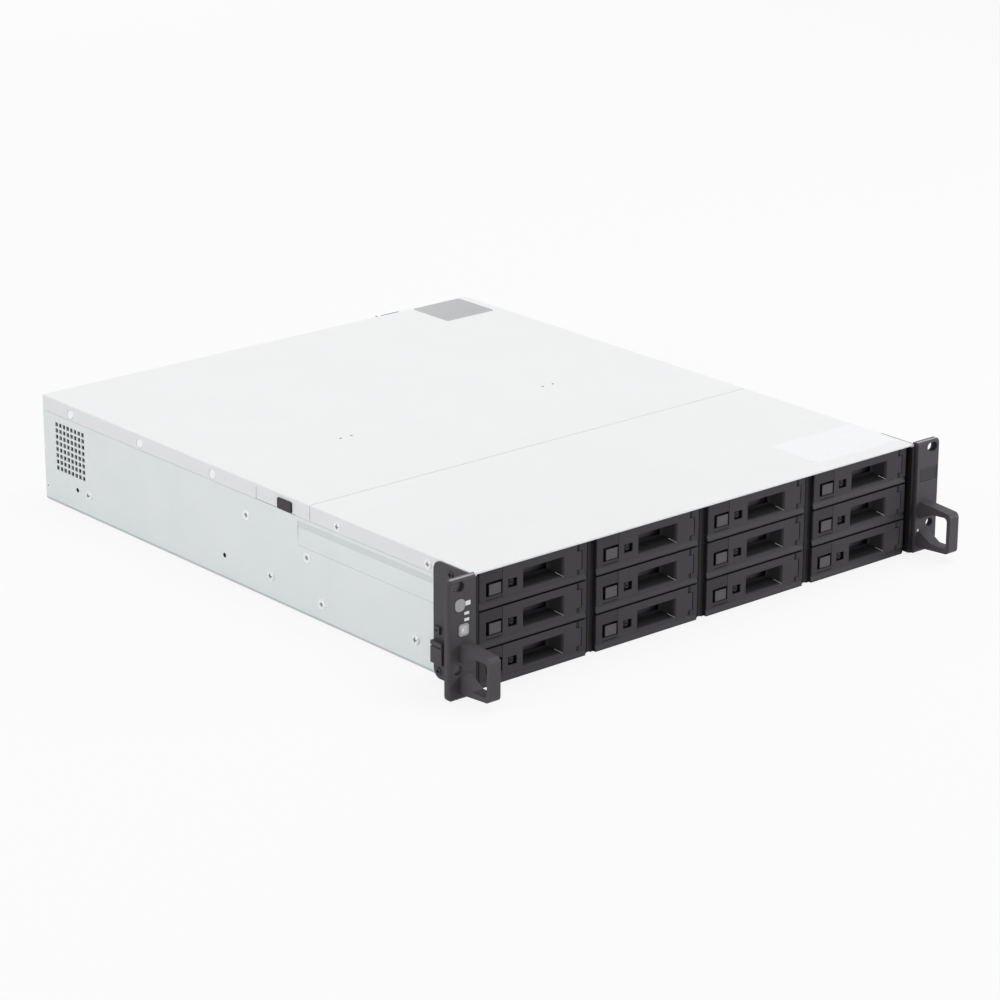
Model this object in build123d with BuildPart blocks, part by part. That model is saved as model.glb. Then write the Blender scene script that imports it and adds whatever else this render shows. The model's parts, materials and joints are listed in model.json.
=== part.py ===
from build123d import *
import os

os.makedirs("parts", exist_ok=True)

# Frame: origin at the centre of the flat underside, X to the right seen from the front,
# Y to the rear, Z up. The ears face -Y.

# Drives and the bays around them set the size of the whole chassis
drive_width = 101.6
drive_height = 26.1
drive_length = 147.0
columns = 4
rows = 3
tray_rail = 0.9
drive_slack = 0.1
tray_floor = 1.0
tray_gap = 3.7
side_gap = 2.05
seat_gap = 0.3
runner = 1.0
drive_headroom = 0.2

# Sheet metal
sheet = 1.2
cover_sheet = 1.2
slip = 0.2
bend_radius = 4.0
overrun = 2.0

# Rack panel
unit_height = 44.45
rack_units = 2
panel_shortfall = 0.9
ear_reach = 25.3
ear_hole_inset = 8.75
ear_hole_rise = 60.3
ear_hole_top = 5.9
ear_hole_radius = 3.5
ear_plate = 1.8
ear_bezel = 2.9
ear_lift = 0.2

# Body sizes that follow
body_depth = 527.0
wall_share = 0.5
tray_width = drive_width + 2 * (tray_rail + drive_slack)
column_pitch = tray_width + tray_gap
row_pitch = tray_floor + drive_height + drive_headroom + runner + seat_gap
body_width = columns * column_pitch - tray_gap + 2 * (side_gap + sheet)
first_tray = sheet + seat_gap
stack_height = first_tray + (rows - 1) * row_pitch + tray_floor + drive_height
body_height = stack_height + drive_headroom + cover_sheet
half_width = body_width / 2
ear_half = half_width + ear_reach
front_y = -body_depth / 2
rear_y = body_depth / 2
shell_front = front_y + ear_bezel + wall_share * sheet

# Cover
cover_drop = 12.2
cover_split = 185.0
cover_seam = 0.6
joggle_z = body_height - cover_drop - slip
wall_top = body_height - cover_sheet - slip
upper_wall = half_width - sheet - slip


def front_plane(y):
    """Plane facing the front at depth y; sketch points on it are (x, z)."""
    return Plane.XZ.offset(-y)


def between(low_a, high_a, low_b, high_b, mode=Mode.ADD):
    """Rectangle of a sketch given by its edges."""
    with Locations(((low_a + high_a) / 2, (low_b + high_b) / 2)):
        Rectangle(high_a - low_a, high_b - low_b, mode=mode)


def column_middle(column):
    """Middle of one column of bays across the chassis."""
    return (column - (columns - 1) / 2) * column_pitch


def save(piece, name):
    piece.label = name
    export_step(piece, f"parts/{name}.step")


def save_group(pieces, name):
    save(Compound(children=list(pieces)), name)


# Power supplies, stacked at the right of the rear wall
supply_width = 73.5
supply_height = 40.0
supply_length = 185.0
supply_gap = 0.3
supply_from_wall = 10.5
supply_right = half_width - supply_from_wall
supply_left = supply_right - supply_width
shelf_z = first_tray + supply_height + supply_gap + wall_share * sheet
supply_floors = (first_tray, shelf_z + sheet + supply_gap)

# Chassis pan: floor, walls stepped in for the cover, rear wall
floor_setback = 11.0
floor_front = front_y + floor_setback
vent_hole = 3.4
vent_pitch_y = 5.1
vent_pitch_z = 5.1
vent_rows = 8
vent_from_rear = 36.0
vent_centre_y = rear_y - vent_from_rear
vent_centre_z = 49.3
latch_from_split = 30.0
latch_centre = front_y + cover_split + latch_from_split
latch_stem = 6.0
latch_stem_lead = 4.0
latch_travel = 8.0
lid_travel = 12.0
stem_centre = latch_centre - latch_stem_lead
latch_slot_height = 3.0
latch_slot_rise = 3.4
latch_slot_z = joggle_z + latch_slot_rise
port_count = 2

# Stiffening swage pressed into each side wall
swage_depth = 0.8
swage_start = 47.0
swage_end = 200.0
swage_top = 72.0
swage_valley = 66.7
swage_low = 55.0

# Rear openings
port_width = 16.0
port_height = 13.5
port_pitch = 19.0
port_depth = 21.0
port_first_x = 96.0
usb_width = 14.5
usb_height = 16.0
usb_x = 18.0
board_height = 6.0
board_sheet = 1.6
board_top = sheet + board_height + board_sheet
port_clear = 0.4
rear_vent_width = 3.2
rear_vent_height = 24.0
rear_vent_pitch = 6.4
rear_vent_columns = 14
rear_vent_x = -150.0
rear_vent_rise = 30.0
slot_width = 12.1
slot_bottom = 12.0
slot_top = joggle_z - sheet
slot_places = (-54.0, -33.7)
bracket_width = 18.4
bracket_sheet = 0.9

with BuildPart() as pan:
    with BuildSketch(front_plane(shell_front)):
        with BuildLine():
            Polyline(
                (-half_width, 0),
                (half_width, 0),
                (half_width, joggle_z),
                (upper_wall, joggle_z),
                (upper_wall, wall_top),
                (-upper_wall, wall_top),
                (-upper_wall, joggle_z),
                (-half_width, joggle_z),
                close=True,
            )
        make_face()
    extrude(amount=-(rear_y - shell_front))
    bends = pan.edges().filter_by(Axis.Y).group_by(Axis.Z)[0]
    fillet(bends, radius=bend_radius)
    with BuildSketch(front_plane(shell_front)) as pan_inside:
        between(-half_width + sheet, half_width - sheet, sheet, joggle_z - sheet)
        fillet(pan_inside.vertices().group_by(Axis.Y)[0], radius=bend_radius - sheet)
        between(-upper_wall + sheet, upper_wall - sheet, joggle_z - overrun, wall_top + overrun)
    extrude(amount=-(rear_y - sheet - shell_front), mode=Mode.SUBTRACT)
    with BuildSketch(Plane.XY):
        between(-half_width + sheet, half_width - sheet, shell_front, floor_front)
    extrude(amount=bend_radius, mode=Mode.SUBTRACT)
    # Square vent holes at the rear of the left wall
    with BuildSketch(Plane.YZ.offset(-half_width)):
        with Locations((vent_centre_y, vent_centre_z)):
            with GridLocations(vent_pitch_y, vent_pitch_z, vent_rows, vent_rows):
                Rectangle(vent_hole, vent_hole)
    extrude(amount=sheet + overrun, mode=Mode.SUBTRACT)
    # Swage: a steep slope in at the top and a long shallow one out below
    with BuildSketch(front_plane(front_y + swage_start)):
        for side in (-1, 1):
            with BuildLine():
                Polyline(
                    (side * half_width, swage_top),
                    (side * (half_width - swage_depth), swage_valley),
                    (side * half_width, swage_low),
                    close=True,
                )
            make_face()
    extrude(amount=-(swage_end - swage_start), mode=Mode.SUBTRACT)
    # Slot for the stem of the lid latch
    with BuildSketch(Plane.YZ.offset(-upper_wall - slip)):
        full_travel = latch_travel + lid_travel
        with Locations((stem_centre + full_travel / 2, latch_slot_z)):
            Rectangle(latch_stem + full_travel + 2 * slip, latch_slot_height + 2 * slip)
    extrude(amount=sheet + overrun, mode=Mode.SUBTRACT)
    # Rear wall: supplies, ports, card slots and air vents
    with BuildSketch(front_plane(rear_y - sheet - overrun)):
        for floor_z in supply_floors:
            between(
                supply_left - supply_gap,
                supply_right + supply_gap,
                floor_z - supply_gap / 2,
                floor_z + supply_height + supply_gap,
            )
        for number in range(port_count):
            port_x = port_first_x - number * port_pitch
            between(
                port_x - port_width / 2 - port_clear,
                port_x + port_width / 2 + port_clear,
                board_top - port_clear,
                board_top + port_height + port_clear,
            )
        between(
            usb_x - usb_width / 2 - port_clear,
            usb_x + usb_width / 2 + port_clear,
            board_top - port_clear,
            board_top + usb_height + port_clear,
        )
        for slot_x in slot_places:
            between(slot_x - slot_width / 2, slot_x + slot_width / 2, slot_bottom, slot_top)
        with Locations((rear_vent_x, body_height / 2)):
            with GridLocations(rear_vent_pitch, rear_vent_rise, rear_vent_columns, 2):
                Rectangle(rear_vent_width, rear_vent_height)
    extrude(amount=-(sheet + 2 * overrun), mode=Mode.SUBTRACT)

# Power supply bay: two guide walls and the shelf between the supplies
bay_left = supply_left - supply_gap - sheet
bay_right = supply_right + supply_gap + sheet
with BuildPart() as supply_bay:
    with BuildSketch(front_plane(rear_y - sheet)):
        between(bay_left, bay_left + sheet, sheet, wall_top)
        between(bay_right - sheet, bay_right, sheet, wall_top)
        between(bay_left, bay_right, shelf_z, shelf_z + sheet)
    extrude(amount=supply_length)

# Blank covers over the card slots, seated on the inside of the rear wall
with BuildPart() as slot_blanks:
    with BuildSketch(front_plane(rear_y - sheet)):
        for slot_x in slot_places:
            between(
                slot_x - bracket_width / 2,
                slot_x + bracket_width / 2,
                slot_bottom - overrun,
                slot_top + overrun,
            )
    extrude(amount=bracket_sheet)

save_group([pan.part, supply_bay.part, *slot_blanks.part.solids()], "chassis")


# Covers
cover_edge_radius = 0.9


def cover_shell(front, rear):
    """Top sheet with a flange down each side, from one depth to another."""
    with BuildPart() as shell:
        with BuildSketch(front_plane(front)):
            with BuildLine():
                Polyline(
                    (-half_width, body_height - cover_drop),
                    (-half_width, body_height),
                    (half_width, body_height),
                    (half_width, body_height - cover_drop),
                    (half_width - sheet, body_height - cover_drop),
                    (half_width - sheet, body_height - cover_sheet),
                    (-half_width + sheet, body_height - cover_sheet),
                    (-half_width + sheet, body_height - cover_drop),
                    close=True,
                )
            make_face()
        extrude(amount=-(rear - front))
        fillet(shell.edges().filter_by(Axis.Y).group_by(Axis.Z)[-1], radius=cover_edge_radius)
    return shell.part


lid_front = front_y + cover_split + cover_seam
hook_length = 8.4
hook_height = 7.0
hook_depth = 0.6
hook_drop = 7.4
hook_z = body_height - hook_drop
hook_count = 3
hook_from_rear = 38.0
hook_pitch = 93.0
hook_places = tuple(rear_y - hook_from_rear - number * hook_pitch for number in range(hook_count))
latch_pocket_length = 47.6
latch_pocket_height = 10.4
latch_pocket_from_split = 40.7
latch_drop = 7.8
latch_z = body_height - latch_drop
latch_pocket_centre = front_y + cover_split + latch_pocket_from_split
latch_pocket_depth = 0.7

save(cover_shell(shell_front, front_y + cover_split), "front_cover")

with BuildPart() as rear_lid:
    add(cover_shell(lid_front, rear_y))
    # Oval hook dimples in both flanges
    for side in (-1, 1):
        with BuildSketch(Plane.YZ.offset(side * half_width)):
            with Locations(*[(place, hook_z) for place in hook_places]):
                SlotOverall(hook_length, hook_height)
        extrude(amount=-side * hook_depth, mode=Mode.SUBTRACT)
    # Latch pocket and the slot its stem runs in, left flange only
    with BuildSketch(Plane.YZ.offset(-half_width)):
        with Locations((latch_pocket_centre, latch_z)):
            RectangleRounded(latch_pocket_length, latch_pocket_height, sheet)
    extrude(amount=latch_pocket_depth, mode=Mode.SUBTRACT)
    with BuildSketch(Plane.YZ.offset(-half_width)):
        with Locations((stem_centre + latch_travel / 2, latch_slot_z)):
            Rectangle(latch_stem + latch_travel + 2 * slip, latch_slot_height + 2 * slip)
    extrude(amount=sheet + slip, mode=Mode.SUBTRACT)
save(rear_lid.part, "rear_lid")

# Lid latch: outer slider, stem through both sheets, retainer inside
latch_length = 16.5
latch_height = 8.2
latch_proud = 1.5
latch_retainer = 1.2
latch_outer = -half_width + latch_pocket_depth - slip
with BuildPart() as lid_latch:
    with BuildSketch(Plane.YZ.offset(latch_outer)):
        with Locations((latch_centre, latch_z)):
            RectangleRounded(latch_length, latch_height, sheet)
    extrude(amount=-latch_proud)
    chamfer(lid_latch.faces().sort_by(Axis.X)[0].edges(), length=latch_proud / 3)
    with BuildSketch(Plane.YZ.offset(latch_outer)):
        with Locations((stem_centre, latch_slot_z)):
            Rectangle(latch_stem, latch_slot_height)
    extrude(amount=-upper_wall + sheet + slip - latch_outer)
    with BuildSketch(Plane.YZ.offset(-upper_wall + sheet + slip)):
        with Locations((latch_centre, latch_slot_z + latch_slot_height / 2)):
            Rectangle(latch_length, latch_height - latch_slot_height)
    extrude(amount=latch_retainer)
save(lid_latch.part, "lid_latch")

# Rack ears: L-shaped plates with a rail block on each side flange
ear_height = rack_units * unit_height - panel_shortfall
ear_hole_x = ear_half - ear_hole_inset
ear_hole_z = ear_lift + ear_height - ear_hole_top - ear_hole_rise / 2
small_hole_radius = 1.2
small_hole_out = 4.4
small_hole_x = half_width + small_hole_out
small_hole_z = 18.2
ear_corner = 4.0
flange_depth = 44.5
flange_corner = 7.0
flange_drop = 1.7
block_rise = (13.0, 29.0)
block_reach = (30.5, 42.6)
block_proud = 4.6
block_groove = 1.0
block_groove_z = 25.0
clip_rise = (33.6, 39.2)
clip_reach = (36.2, 42.0)
clip_proud = 2.0
window_margin = 2.4
window_rise = (44.5, 75.0)


def ear_plate_solid(side):
    """One L-shaped ear plate; side is -1 for left and 1 for right."""
    with BuildPart() as ear:
        with BuildSketch(Plane.XY.offset(ear_lift)):
            with BuildLine():
                Polyline(
                    (side * half_width, front_y + ear_bezel),
                    (side * ear_half, front_y + ear_bezel),
                    (side * ear_half, front_y + ear_bezel + ear_plate),
                    (side * (half_width + ear_plate), front_y + ear_bezel + ear_plate),
                    (side * (half_width + ear_plate), front_y + flange_depth),
                    (side * half_width, front_y + flange_depth),
                    close=True,
                )
            make_face()
        extrude(amount=ear_height)
        with BuildSketch(Plane.XY.offset(ear_lift + ear_height - flange_drop)):
            span = sorted((side * half_width, side * (half_width + ear_plate)))
            between(span[0], span[1], front_y + ear_bezel + ear_plate, front_y + flange_depth)
        extrude(amount=flange_drop, mode=Mode.SUBTRACT)
        outer = ear.edges().filter_by(Axis.Y).sort_by(Axis.X)
        fillet(outer[-2:] if side > 0 else outer[:2], radius=ear_corner)
        fillet(ear.edges().filter_by(Axis.X).group_by(Axis.Y)[-1], radius=flange_corner)
        with BuildSketch(front_plane(front_y)):
            with Locations((side * ear_hole_x, ear_hole_z)):
                with GridLocations(0, ear_hole_rise, 1, 2):
                    Circle(ear_hole_radius)
            with Locations((side * small_hole_x, small_hole_z)):
                Circle(small_hole_radius)
            if side < 0:
                between(
                    -ear_half + window_margin,
                    -half_width - window_margin,
                    *window_rise,
                )
        extrude(amount=-(ear_bezel + ear_plate + overrun), mode=Mode.SUBTRACT)
    return ear.part


def rail_block(side):
    """Moulded block that guides the side flange into a rack rail."""
    base_x = side * (half_width + ear_plate)
    with BuildPart() as block:
        with BuildSketch(Plane.YZ.offset(base_x)):
            between(front_y + block_reach[0], front_y + block_reach[1], *block_rise)
        extrude(amount=side * block_proud)
        with BuildSketch(Plane.YZ.offset(base_x + side * (block_proud - block_groove))):
            between(
                front_y + block_reach[0],
                front_y + block_reach[1],
                block_groove_z,
                block_groove_z + block_groove,
            )
        extrude(amount=side * overrun, mode=Mode.SUBTRACT)
    return block.part


def rail_clip(side):
    """Small square catch with a hole above the rail block."""
    base_x = side * (half_width + ear_plate)
    with BuildPart() as clip:
        with BuildSketch(Plane.YZ.offset(base_x)):
            between(front_y + clip_reach[0], front_y + clip_reach[1], *clip_rise)
            with Locations((front_y + sum(clip_reach) / 2, sum(clip_rise) / 2)):
                Circle(clip_proud / 2, mode=Mode.SUBTRACT)
        extrude(amount=side * clip_proud)
    return clip.part


ear_pieces = []
for side in (-1, 1):
    ear_pieces += [ear_plate_solid(side), rail_block(side), rail_clip(side)]
save_group(ear_pieces, "rack_ears")

# Ear bezels with their pull handles
bezel_from_wall = 1.3
bezel_inner = half_width + bezel_from_wall
bezel_hole_clear = 0.2
bezel_slot = 10.4
bezel_edge = 1.4
handle_inset = 10.2
handle_outer = ear_half - handle_inset
handle_width = 9.6
handle_reach = 31.0
handle_low = 6.5
handle_high = 38.2
handle_flare = 2.3
handle_bar = 3.2
handle_arm = 3.4
handle_root = 11.0
handle_root_share = 0.42
handle_corner = 4.0
handle_inside_corner = 3.0
plate_recess = 0.6
plate_width = 18.0
plate_height = 10.6
plate_inset = 2.8
plate_low = 56.4

# Controls on the left bezel, placed from the ear's outer edge
control_clear = 0.25
power_inset = 9.8
power_x = -ear_half + power_inset
power_z = 69.1
power_width = 8.5
power_height = 8.9
power_corner = 3.4
mute_inset = 13.2
mute_x = -ear_half + mute_inset
mute_z = 50.7
mute_size = 8.8
mute_corner = 2.2
tab_size = (5.2, 3.2)
tab_inset = 16.8
tab_z = 69.3
tab_centre = (-ear_half + tab_inset, tab_z)
bar_size = (4.2, 2.1)
bar_inset = 16.0
bar_rise = (62.2, 57.6)
bar_centres = [(-ear_half + bar_inset, bar_z) for bar_z in bar_rise]
button_proud = 0.5
button_flange = 0.9
button_step = 1.0


def bezel_solid(side):
    """Plastic front of one ear; side is -1 for left and 1 for right."""
    with BuildPart() as bezel:
        with BuildSketch(front_plane(front_y)):
            span = sorted((side * bezel_inner, side * ear_half))
            between(span[0], span[1], ear_lift, ear_lift + ear_height)
        extrude(amount=-ear_bezel)
        outer = bezel.edges().filter_by(Axis.Y).sort_by(Axis.X)
        fillet(outer[-2:] if side > 0 else outer[:2], radius=ear_corner)
        edge = bezel.faces().sort_by(Axis.Y)[0].edges().filter_by(Axis.Z).sort_by(Axis.X)
        chamfer(edge[-1:] if side > 0 else edge[:1], length=bezel_edge)
        # Handle: a loop in the side plane whose arms thicken towards the root
        with BuildSketch(Plane.YZ.offset(side * (handle_outer - handle_width))) as loop:
            with BuildLine():
                Polyline(
                    (front_y, handle_low - handle_flare),
                    (front_y - handle_reach, handle_low),
                    (front_y - handle_reach, handle_high),
                    (front_y, handle_high + handle_flare),
                    close=True,
                )
            make_face()
            fillet(loop.vertices().group_by(Axis.X)[0], radius=handle_corner)
            with BuildSketch(mode=Mode.PRIVATE) as window:
                with BuildLine():
                    front = front_y - handle_reach + handle_bar
                    waist = front_y - handle_root_share * handle_reach
                    Polyline(
                        (front_y, handle_low + handle_root),
                        (waist, handle_low + handle_arm),
                        (front, handle_low + handle_arm),
                        (front, handle_high - handle_arm),
                        (waist, handle_high - handle_arm - handle_flare / 2),
                        (front_y, handle_high - handle_root),
                        close=True,
                    )
                make_face()
                fillet(window.vertices().group_by(Axis.X)[0], radius=handle_inside_corner)
            add(window.sketch, mode=Mode.SUBTRACT)
        extrude(amount=side * handle_width)
        with BuildSketch(front_plane(front_y)):
            with Locations((side * ear_hole_x, ear_hole_z)):
                with Locations((0, ear_hole_rise / 2)):
                    SlotOverall(bezel_slot, 2 * (ear_hole_radius + bezel_hole_clear))
                with Locations((0, -ear_hole_rise / 2)):
                    Circle(ear_hole_radius + bezel_hole_clear)
            with Locations((side * small_hole_x, small_hole_z)):
                Circle(small_hole_radius)
            if side < 0:
                with Locations((power_x, power_z)):
                    grown = 2 * control_clear
                    RectangleRounded(power_width + grown, power_height + grown, power_corner)
                with Locations((mute_x, mute_z)):
                    RectangleRounded(mute_size + grown, mute_size + grown, mute_corner)
                with Locations(*bar_centres):
                    Rectangle(bar_size[0], bar_size[1])
                with Locations(tab_centre):
                    Rectangle(tab_size[0] - control_clear, tab_size[1])
        extrude(amount=-(ear_bezel + overrun), mode=Mode.SUBTRACT)
        if side > 0:
            with BuildSketch(front_plane(front_y)):
                plate_right = ear_half - plate_inset
                between(
                    plate_right - plate_width,
                    plate_right,
                    plate_low,
                    plate_low + plate_height,
                )
            extrude(amount=-plate_recess, mode=Mode.SUBTRACT)
    return bezel.part


save(bezel_solid(-1), "ear_bezel_left")
save(bezel_solid(1), "ear_bezel_right")


def panel_button(x, z, width, height, corner, name):
    """Push button with a flange behind the bezel that keeps it in."""
    with BuildPart() as button:
        with BuildSketch(front_plane(front_y - button_proud)):
            with Locations((x, z)):
                RectangleRounded(width, height, corner)
        extrude(amount=-(button_proud + ear_bezel + slip))
        with BuildSketch(front_plane(front_y + ear_bezel + slip)):
            with Locations((x, z)):
                RectangleRounded(width + button_step, height + button_step, corner)
        extrude(amount=-button_flange)
    save(button.part, name)


panel_button(power_x, power_z, power_width, power_height, power_corner, "power_button")
panel_button(mute_x, mute_z, mute_size, mute_size, mute_corner, "mute_button")

light_proud = 0.1
with BuildPart() as lights:
    with BuildSketch(front_plane(front_y - light_proud)):
        with Locations(*bar_centres):
            Rectangle(bar_size[0], bar_size[1])
        with Locations((tab_centre[0] + control_clear, tab_centre[1])):
            Rectangle(tab_size[0] - 3 * control_clear, tab_size[1])
    extrude(amount=-(ear_bezel - slip))
save_group(lights.part.solids(), "status_lights")

# Drive trays, drawn from the lower left front corner of one bezel
bezel_setback = 5.3
shoulder = 3.0
bezel_width = tray_width - 2 * shoulder
bezel_height = 27.2
shoulder_setback = 2.5
shoulder_back = 5.0
shoulder_gap = 0.4
shoulder_height = row_pitch - shoulder_gap
tray_lift = 1.0
tray_end = 5.0
housing_wall = 1.5
housing_top = 26.5
rail_height = 22.0

lever_left = 20.9
lever_seam = 0.35
lever_low = 5.2
lever_depth = 9.0
hinge_inset = 5.8
hinge_u = bezel_width - hinge_inset
hinge_v = 2.7
barrel_radius = 2.9
lever_edge = hinge_u - barrel_radius
barrel_low = 8.8
barrel_high = 22.2
barrel_gap = 0.35
lug_flat = 0.8
lug_gap = 0.35
pin_radius = 0.9
pin_clear = 0.05
cavity_depth = 13.5
housing_depth = cavity_depth + housing_wall
tray_length = housing_depth + drive_length + tray_end
scoop_left = 39.3
scoop_margin = 11.7
scoop_slant = 9.2
scoop_right = lever_edge - scoop_margin
scoop_right_deep = scoop_right - scoop_slant
scoop_low = 6.4
scoop_low_deep = 12.9
scoop_high = 21.6
lip_back = 1.2
lip_low = 0.8

pocket_left = 6.0
pocket_right = lever_left - lever_seam
pocket_low = 8.5
pocket_high = 18.9
pocket_depth = 7.0
key_left = 9.3
key_right = pocket_right - lever_seam
key_low = 8.8
key_high = 16.8
key_setback = 0.5
key_travel = 2.0
key_depth = 3.6

lock_u = 30.0
lock_w = 13.8
lock_size = (8.0, 6.4)
lock_depth = 3.6

floor_cut_margin = 9.0
floor_cut_gap = 8.0

with BuildPart() as tray_front:
    # Front bezel with its two recessed shoulders, then the lever's housing
    with BuildSketch(Plane.XZ):
        between(0, bezel_width, 0, bezel_height)
    extrude(amount=-shoulder_back)
    with BuildSketch(front_plane(shoulder_setback)):
        between(-shoulder, 0, 0, shoulder_height)
        between(bezel_width, bezel_width + shoulder, 0, shoulder_height)
    extrude(amount=-(shoulder_back - shoulder_setback))
    with BuildSketch(front_plane(shoulder_back)):
        between(-shoulder, bezel_width + shoulder, tray_lift, housing_top)
    extrude(amount=-(housing_depth - shoulder_back))
    # Cavity that the lever closes, open at the top and front
    with BuildSketch(Plane.XZ):
        between(lever_left - lever_seam, lever_edge + lug_gap, lever_low - lever_seam, bezel_height)
    extrude(amount=-cavity_depth, mode=Mode.SUBTRACT)
    # Hinge: lugs rounded about the pin, and a round seat for the barrel between them
    with BuildSketch(Plane.XY.offset(lever_low - lever_seam)):
        between(lever_edge, hinge_u - lug_flat, 0, hinge_v)
        with Locations((hinge_u, hinge_v)):
            Circle(barrel_radius - lug_gap, mode=Mode.SUBTRACT)
    extrude(amount=bezel_height - lever_low + lever_seam, mode=Mode.SUBTRACT)
    with BuildSketch(Plane.XY.offset(barrel_low - lug_gap)):
        with Locations((hinge_u, hinge_v)):
            Circle(barrel_radius + barrel_gap)
            Circle(pin_radius, mode=Mode.SUBTRACT)
        between(lever_edge, hinge_u - pin_radius, 0, hinge_v + barrel_radius + barrel_gap)
    extrude(amount=barrel_high - barrel_low + 2 * lug_gap, mode=Mode.SUBTRACT)
    # Pocket of the release button
    with BuildSketch(Plane.XZ):
        between(pocket_left, pocket_right, pocket_low, pocket_high)
    extrude(amount=-pocket_depth, mode=Mode.SUBTRACT)
    # Sloped lip under the lever
    with BuildSketch(Plane.YZ):
        with BuildLine():
            Polyline(
                (0, lip_low),
                (lip_back, lever_low - lever_seam),
                (0, lever_low - lever_seam),
                close=True,
            )
        make_face()
    extrude(amount=bezel_width, mode=Mode.SUBTRACT)

# Steel sled that the drive lies in, seated on the back of the housing
with BuildPart() as sled:
    with BuildSketch(front_plane(housing_depth)):
        with BuildLine():
            Polyline(
                (-shoulder, tray_lift),
                (bezel_width + shoulder, tray_lift),
                (bezel_width + shoulder, tray_lift + rail_height),
                (bezel_width + shoulder - tray_rail, tray_lift + rail_height),
                (bezel_width + shoulder - tray_rail, tray_lift + tray_floor),
                (-shoulder + tray_rail, tray_lift + tray_floor),
                (-shoulder + tray_rail, tray_lift + rail_height),
                (-shoulder, tray_lift + rail_height),
                close=True,
            )
        make_face()
    extrude(amount=-(tray_length - housing_depth))
    # Windows that lighten the floor
    with BuildSketch(Plane.XY.offset(tray_lift)):
        cut_front = housing_depth + floor_cut_margin
        cut_length = (tray_length - floor_cut_margin - cut_front - floor_cut_gap) / 2
        for start in (cut_front, cut_front + cut_length + floor_cut_gap):
            between(
                floor_cut_margin,
                bezel_width - floor_cut_margin,
                start,
                start + cut_length,
            )
    extrude(amount=tray_floor, mode=Mode.SUBTRACT)

with BuildPart() as lever:
    with BuildSketch(Plane.XY.offset(lever_low)):
        between(lever_left, lever_edge, 0, lever_depth)
    extrude(amount=bezel_height - lever_low)
    # Barrel around the hinge pin, cut flush with the lever's face
    with BuildSketch(Plane.XY.offset(barrel_low)):
        with Locations((hinge_u, hinge_v)):
            Circle(barrel_radius)
        between(lever_edge - overrun, hinge_u, 0, hinge_v + barrel_radius)
        between(hinge_u - barrel_radius, hinge_u + barrel_radius, -overrun, 0, mode=Mode.SUBTRACT)
        with Locations((hinge_u, hinge_v)):
            Circle(pin_radius + pin_clear, mode=Mode.SUBTRACT)
    extrude(amount=barrel_high - barrel_low)
    # Finger scoop, narrowing to the rear
    with BuildSketch(Plane.XZ):
        between(scoop_left, scoop_right, scoop_low, scoop_high)
    with BuildSketch(front_plane(lever_depth)):
        between(scoop_left, scoop_right_deep, scoop_low_deep, scoop_high)
    loft(ruled=True, mode=Mode.SUBTRACT)
    # Recess of the lock
    with BuildSketch(Plane.XZ):
        with Locations((lock_u, lock_w)):
            Rectangle(*lock_size)
    extrude(amount=-lock_depth, mode=Mode.SUBTRACT)

with BuildPart() as key:
    with BuildSketch(front_plane(key_setback)):
        between(key_left, key_right, key_low, key_high)
    extrude(amount=-key_depth)
    chamfer(key.faces().sort_by(Axis.Y)[0].edges(), length=key_setback / 2)
    with BuildSketch(front_plane(key_setback + key_depth)):
        between(
            pocket_left + seat_gap,
            pocket_right - lever_seam,
            pocket_low + seat_gap,
            pocket_high - seat_gap,
        )
    extrude(amount=-(pocket_depth - key_setback - key_depth - key_travel - seat_gap))

tray_number = 0
for row in reversed(range(rows)):
    for column in range(columns):
        tray_number += 1
        left = (column - columns / 2) * column_pitch + tray_gap / 2 + shoulder
        low = first_tray - tray_lift + row * row_pitch
        place = Location((left, front_y + bezel_setback, low))
        both = [tray_front.part.moved(place), sled.part.moved(place)]
        save_group(both, f"drive_tray_{tray_number:02d}")
        save(lever.part.moved(place), f"tray_lever_{tray_number:02d}")
        save(key.part.moved(place), f"tray_button_{tray_number:02d}")

# Drive cage: dividers with runners between the columns, side runners on the walls
runner_reach = 1.3
divider = 1.0
runner_back = 1.0
cage_front = floor_front
cage_rear = front_y + bezel_setback + tray_length + runner_back
divider_top = wall_top
cage_pieces = []
for line in range(columns + 1):
    middle = (line - columns / 2) * column_pitch
    with BuildPart() as cage_wall:
        with BuildSketch(front_plane(cage_front)):
            inner = 0 < line < columns
            if inner:
                between(middle - divider / 2, middle + divider / 2, sheet, divider_top)
            else:
                side = -1 if line == 0 else 1
                wall_face = side * (half_width - sheet)
                span = sorted((wall_face, wall_face - side * divider))
                between(span[0], span[1], bend_radius, joggle_z - sheet)
            for row in range(1, rows):
                top = first_tray + row * row_pitch - seat_gap
                reach = tray_gap / 2 + runner_reach
                if inner:
                    between(middle - reach, middle + reach, top - runner, top)
                else:
                    inner_edge = side * (half_width - sheet - side_gap - runner_reach)
                    span = sorted((wall_face, inner_edge))
                    between(span[0], span[1], top - runner, top)
        extrude(amount=-(cage_rear - cage_front))
    cage_pieces += cage_wall.part.solids()
save_group(cage_pieces, "drive_cage")

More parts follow.
